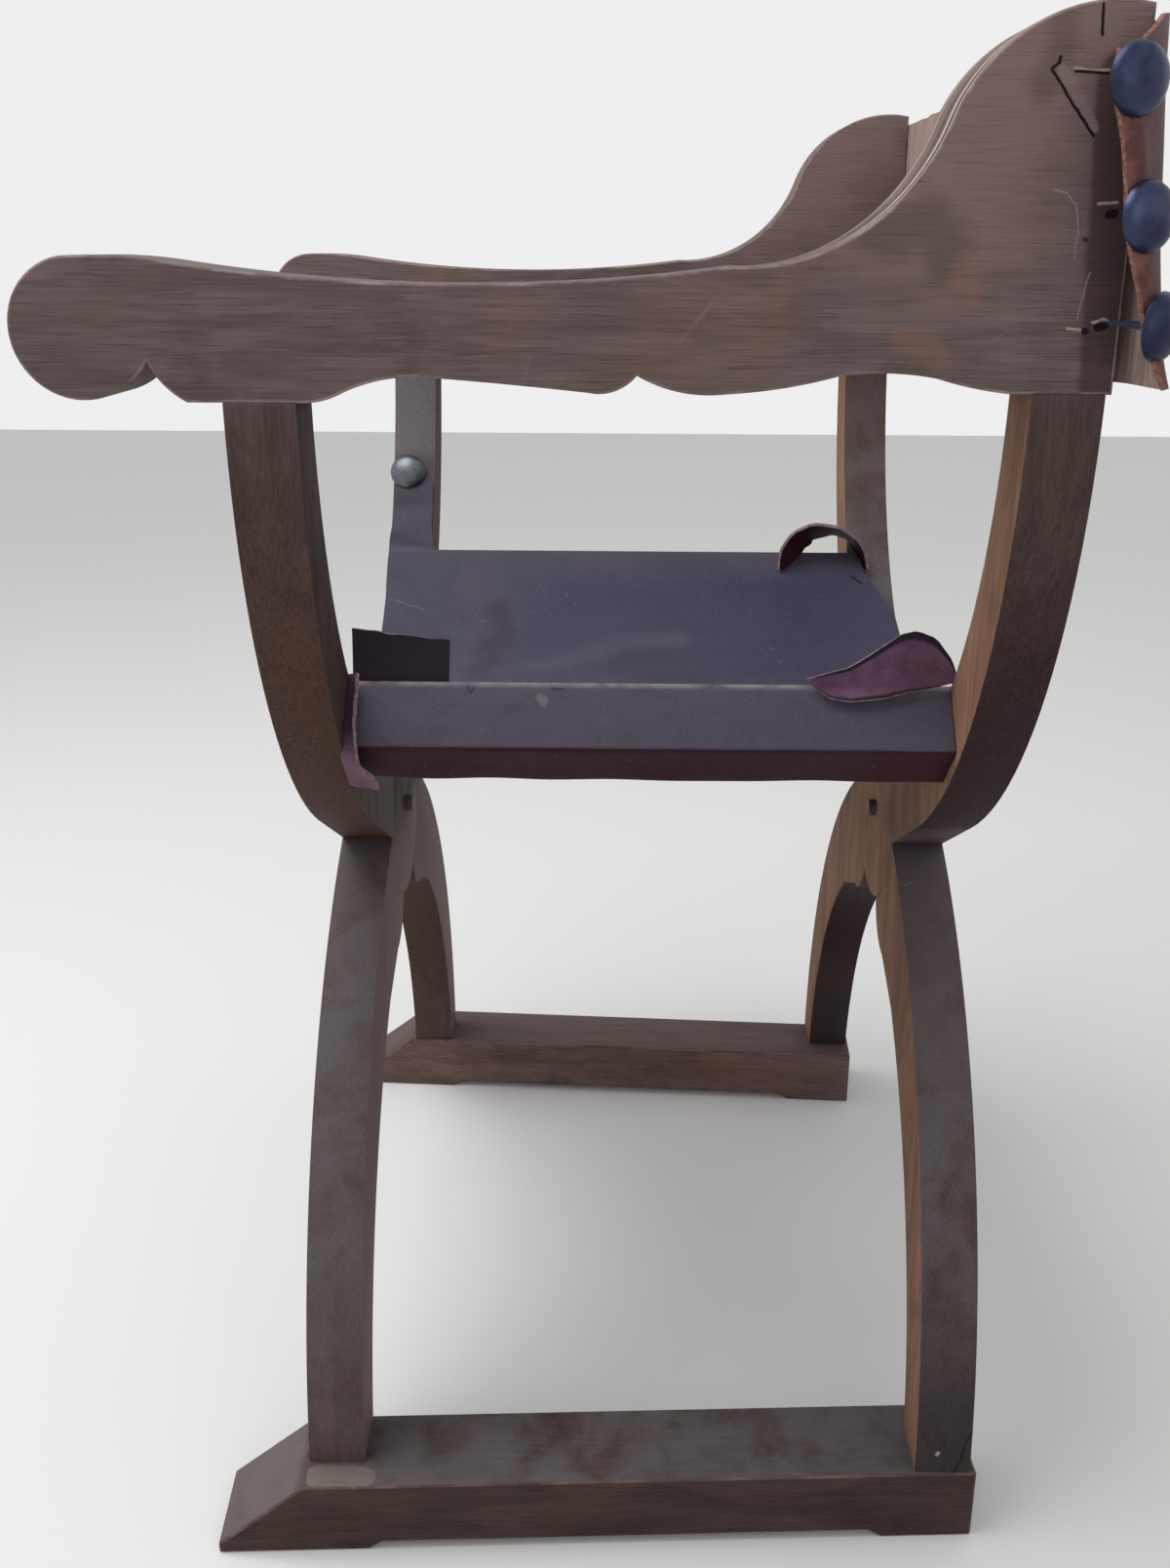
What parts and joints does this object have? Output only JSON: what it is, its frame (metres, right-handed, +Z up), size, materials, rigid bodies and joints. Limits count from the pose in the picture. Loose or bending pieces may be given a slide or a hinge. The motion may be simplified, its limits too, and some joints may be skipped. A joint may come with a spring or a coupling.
{
  "type": "savonarola chair",
  "caption": "Folding X-frame armchair with S-curved wooden legs crossing at a pinned knuckle, shaped arms, a slung leather seat and a leather back band held by domed nails.",
  "frame": {"origin": "middle of the chair's footprint, on the floor", "axes": "+Z up; the chair faces -Y, so its back is towards +Y; +X is the sitter's left"},
  "size_m": [0.6852, 0.5348, 0.8855],
  "materials": {
    "walnut": "worn satin",
    "rail_wood": "dusty and worn",
    "tenon_wood": "raw",
    "seat_leather": "aged, dusty purple-grey",
    "back_leather": "aged red-brown, tan flesh side",
    "nail_iron": "dark blue-grey patina",
    "dark_iron": "dull and rusted"
  },
  "bodies": {
    "left_frame": {"left_arm": "walnut", "front_leg_left": "walnut", "rear_leg_left": "walnut", "right_foot_rail": "rail_wood", "left_seat_rail": "rail_wood", "front_pivot_pin": "dark_iron", "rear_pivot_pin": "dark_iron", "left_arm_tenons": "tenon_wood", "right_foot_tenons": "tenon_wood", "left_rail_tenons": "tenon_wood", "left_back_nails": "nail_iron", "left_seat_tacks": "dark_iron", "seat_leather": "seat_leather", "back_leather": "back_leather"},
    "right_frame": {"right_arm": "walnut", "front_leg_right": "walnut", "rear_leg_right": "walnut", "left_foot_rail": "rail_wood", "right_seat_rail": "rail_wood", "right_arm_tenons": "tenon_wood", "left_foot_tenons": "tenon_wood", "right_rail_tenons": "tenon_wood", "right_back_nails": "nail_iron", "right_seat_tacks": "dark_iron", "seat_ear_nail": "nail_iron"}
  },
  "joints": [
    {"name": "frame_fold", "type": "hinge", "parent": "left_frame", "child": "right_frame", "pos_m": [-0.00917, 0, 0.391], "axis": [0, 1, 0], "range_deg": [0, 45], "deforming": ["seat_leather", "back_leather"]}
  ]
}
